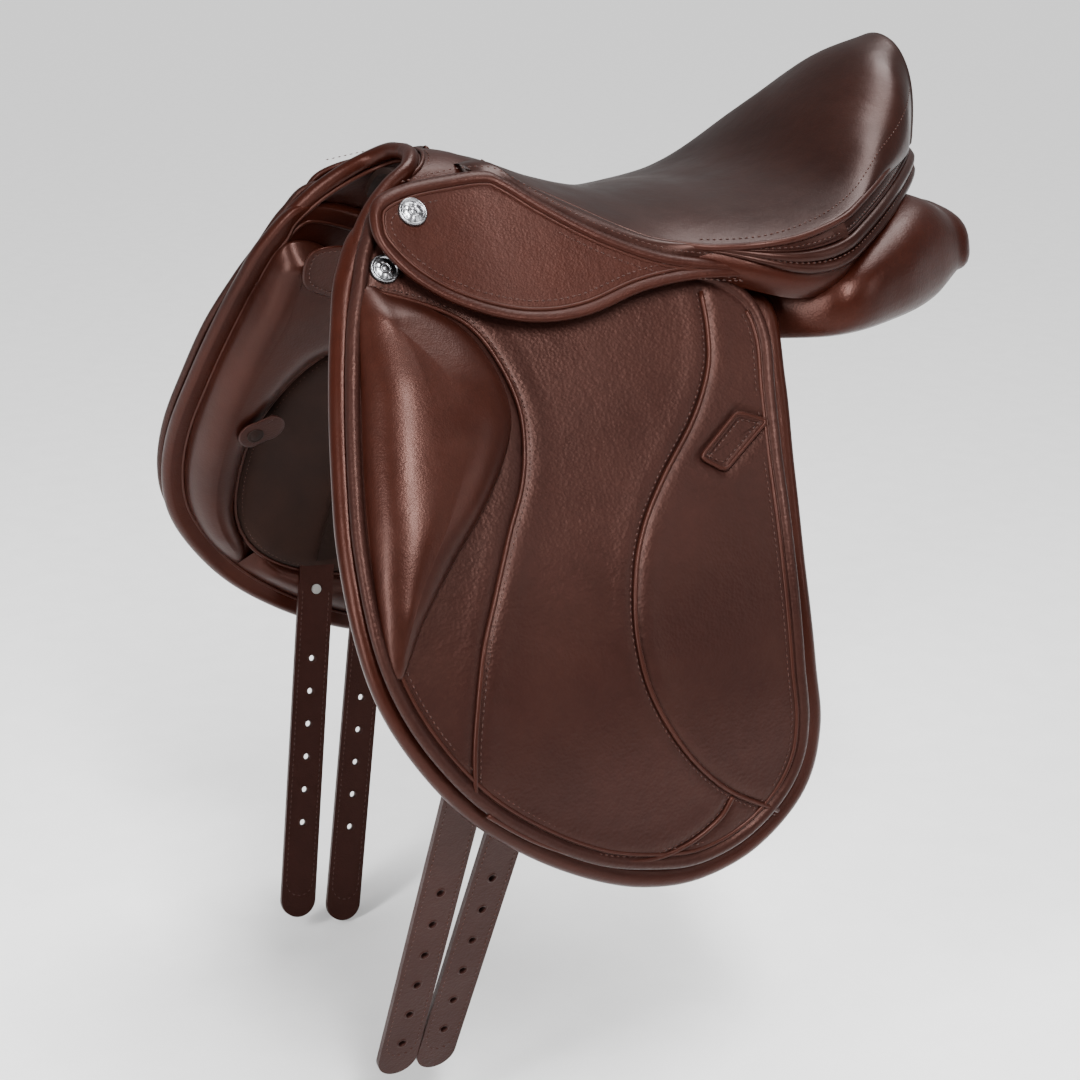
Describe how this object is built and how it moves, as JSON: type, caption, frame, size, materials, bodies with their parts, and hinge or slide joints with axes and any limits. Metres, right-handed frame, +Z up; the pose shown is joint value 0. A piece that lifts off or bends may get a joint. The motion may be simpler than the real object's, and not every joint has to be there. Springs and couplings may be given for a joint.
{
  "type": "english saddle",
  "caption": "Deep-seated english riding saddle with long flaps, knee blocks, padded panels, lifting skirts and loose girth straps with punched holes.",
  "frame": {"origin": "middle of the space between the panels, under the seat's deepest part, where the horse's back or a rack carries the saddle", "axes": "+Z up; the pommel faces -Y; +X towards the near (left) side of the horse"},
  "size_m": [0.504, 0.532, 0.7126],
  "materials": {
    "seat_leather": "smooth chestnut brown calfskin, soft sheen",
    "flap_leather": "grained dark brown leather",
    "skirt_leather": "smooth reddish brown leather",
    "panel_leather": "soft brown calfskin over flocking",
    "block_leather": "smooth brown calfskin over a foam block",
    "strap_leather": "firm brown strap leather",
    "lining_leather": "dark suede-like lining leather",
    "piping_leather": "thin rolled leather piping",
    "thread": "waxed brown thread",
    "stud_metal": "polished metal",
    "bar_steel": "brushed stainless steel",
    "tree_board": "laminated beech",
    "head_steel": "plain steel plate",
    "webbing": "linen webbing",
    "foam": "latex foam in cotton"
  },
  "bodies": {
    "root": {"cantle_band": "seat_leather", "cantle_welt": "seat_leather", "catch_pins": "bar_steel", "channel_lining": "lining_leather", "flap_top_left": "flap_leather", "flap_top_right": "flap_leather", "girth_web_left": "webbing", "girth_web_right": "webbing", "head_plate": "head_steel", "knee_roll_left": "panel_leather", "knee_roll_right": "panel_leather", "panel_left": "panel_leather", "panel_lining_left": "lining_leather", "panel_lining_right": "lining_leather", "panel_right": "panel_leather", "point_pocket_left": "panel_leather", "point_pocket_right": "panel_leather", "pommel_facing": "seat_leather", "roll_tab_left": "strap_leather", "roll_tab_right": "strap_leather", "seat_cover": "seat_leather", "seat_foam": "foam", "seat_webbing": "webbing", "seat_welt": "piping_leather", "skirt_stud_left": "stud_metal", "skirt_stud_right": "stud_metal", "skirt_top_left": "skirt_leather", "skirt_top_right": "skirt_leather", "stirrup_bar_left": "bar_steel", "stirrup_bar_right": "bar_steel", "sweat_flap_left": "panel_leather", "sweat_flap_right": "panel_leather", "tab_rivets": "stud_metal", "tree": "tree_board"},
    "flap_left": {"flap_left": "flap_leather", "knee_block_left": "block_leather", "flap_patch_left": "flap_leather", "flap_stud_left": "stud_metal"},
    "skirt_left": {"skirt_left": "skirt_leather"},
    "stirrup_catch_left": {"stirrup_catch_left": "bar_steel"},
    "girth_strap_front_left": {"girth_strap_front_left": "strap_leather", "strap_nail_front_left": "stud_metal"},
    "girth_strap_rear_left": {"girth_strap_rear_left": "strap_leather", "strap_nail_rear_left": "stud_metal"},
    "flap_right": {"flap_right": "flap_leather", "knee_block_right": "block_leather", "flap_patch_right": "flap_leather", "flap_stud_right": "stud_metal"},
    "skirt_right": {"skirt_right": "skirt_leather"},
    "stirrup_catch_right": {"stirrup_catch_right": "bar_steel"},
    "girth_strap_front_right": {"girth_strap_front_right": "strap_leather", "strap_nail_front_right": "stud_metal"},
    "girth_strap_rear_right": {"girth_strap_rear_right": "strap_leather", "strap_nail_rear_right": "stud_metal"}
  },
  "joints": [
    {"name": "flap_lift_left", "type": "hinge", "parent": "root", "child": "flap_left", "pos_m": [0.09092, -0.255, 0.088], "axis": [-0.2145, -0.9631, 0.1627], "range_deg": [0, 70]},
    {"name": "skirt_lift_left", "type": "hinge", "parent": "flap_left", "child": "skirt_left", "pos_m": [0.09092, -0.255, 0.088], "axis": [-0.2145, -0.9631, 0.1627], "range_deg": [0, 45]},
    {"name": "catch_turn_left", "type": "hinge", "parent": "root", "child": "stirrup_catch_left", "pos_m": [0.10617, -0.07746, 0.07322], "axis": [0.8135, -0.084, 0.5755], "range_deg": [0, 70]},
    {"name": "strap_swing_front_left", "type": "hinge", "parent": "root", "child": "girth_strap_front_left", "pos_m": [0.21, -0.258, -0.24], "axis": [0.9601, 0, -0.2798], "range_deg": [-11, 0]},
    {"name": "strap_swing_rear_left", "type": "hinge", "parent": "root", "child": "girth_strap_rear_left", "pos_m": [0.21, -0.218, -0.24], "axis": [0.9602, 0, -0.2792], "range_deg": [0, 12]},
    {"name": "flap_lift_right", "type": "hinge", "parent": "root", "child": "flap_right", "pos_m": [-0.09092, -0.255, 0.088], "axis": [-0.2145, 0.9631, -0.1627], "range_deg": [0, 70]},
    {"name": "skirt_lift_right", "type": "hinge", "parent": "flap_right", "child": "skirt_right", "pos_m": [-0.09092, -0.255, 0.088], "axis": [-0.2145, 0.9631, -0.1627], "range_deg": [0, 45]},
    {"name": "catch_turn_right", "type": "hinge", "parent": "root", "child": "stirrup_catch_right", "pos_m": [-0.10617, -0.07746, 0.07322], "axis": [0.8135, 0.084, -0.5755], "range_deg": [0, 70]},
    {"name": "strap_swing_front_right", "type": "hinge", "parent": "root", "child": "girth_strap_front_right", "pos_m": [-0.21, -0.199, -0.24], "axis": [0.9617, 0, 0.2742], "range_deg": [-6, 1]},
    {"name": "strap_swing_rear_right", "type": "hinge", "parent": "root", "child": "girth_strap_rear_right", "pos_m": [-0.21, -0.15, -0.24], "axis": [0.9652, 0, 0.2616], "range_deg": [-1, 12]}
  ]
}
